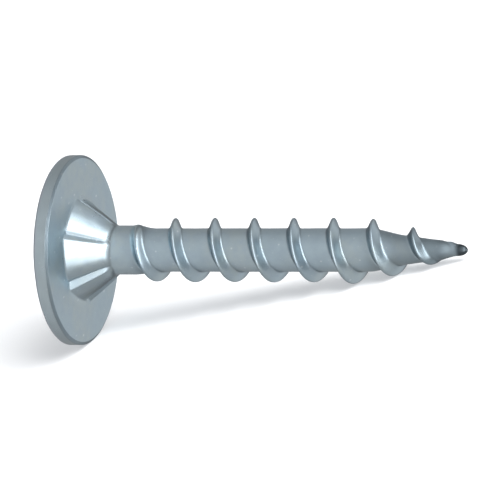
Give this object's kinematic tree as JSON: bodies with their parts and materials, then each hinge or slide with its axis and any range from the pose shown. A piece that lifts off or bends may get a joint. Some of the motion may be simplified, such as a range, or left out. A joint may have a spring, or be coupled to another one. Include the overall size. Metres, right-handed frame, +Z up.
{
  "type": "self-tapping screw",
  "caption": "Zinc-plated self-tapping screw with a wide flat washer head, square drive recess, ribbed cone under the head and a coarse thread running to a blunt gimlet point.",
  "frame": {"origin": "on the ground under the middle of the screw's outline, as it lies on its side", "axes": "+X runs along the screw from head to point as seen from above; +Z up; the axis slopes about 12 degrees down to the point"},
  "size_m": [0.0334, 0.0146, 0.0144],
  "materials": {
    "zinc_plate": "bright bluish zinc plating, semi-gloss, faintly mottled"
  },
  "bodies": {
    "root": {"screw": "zinc_plate"}
  },
  "joints": []
}
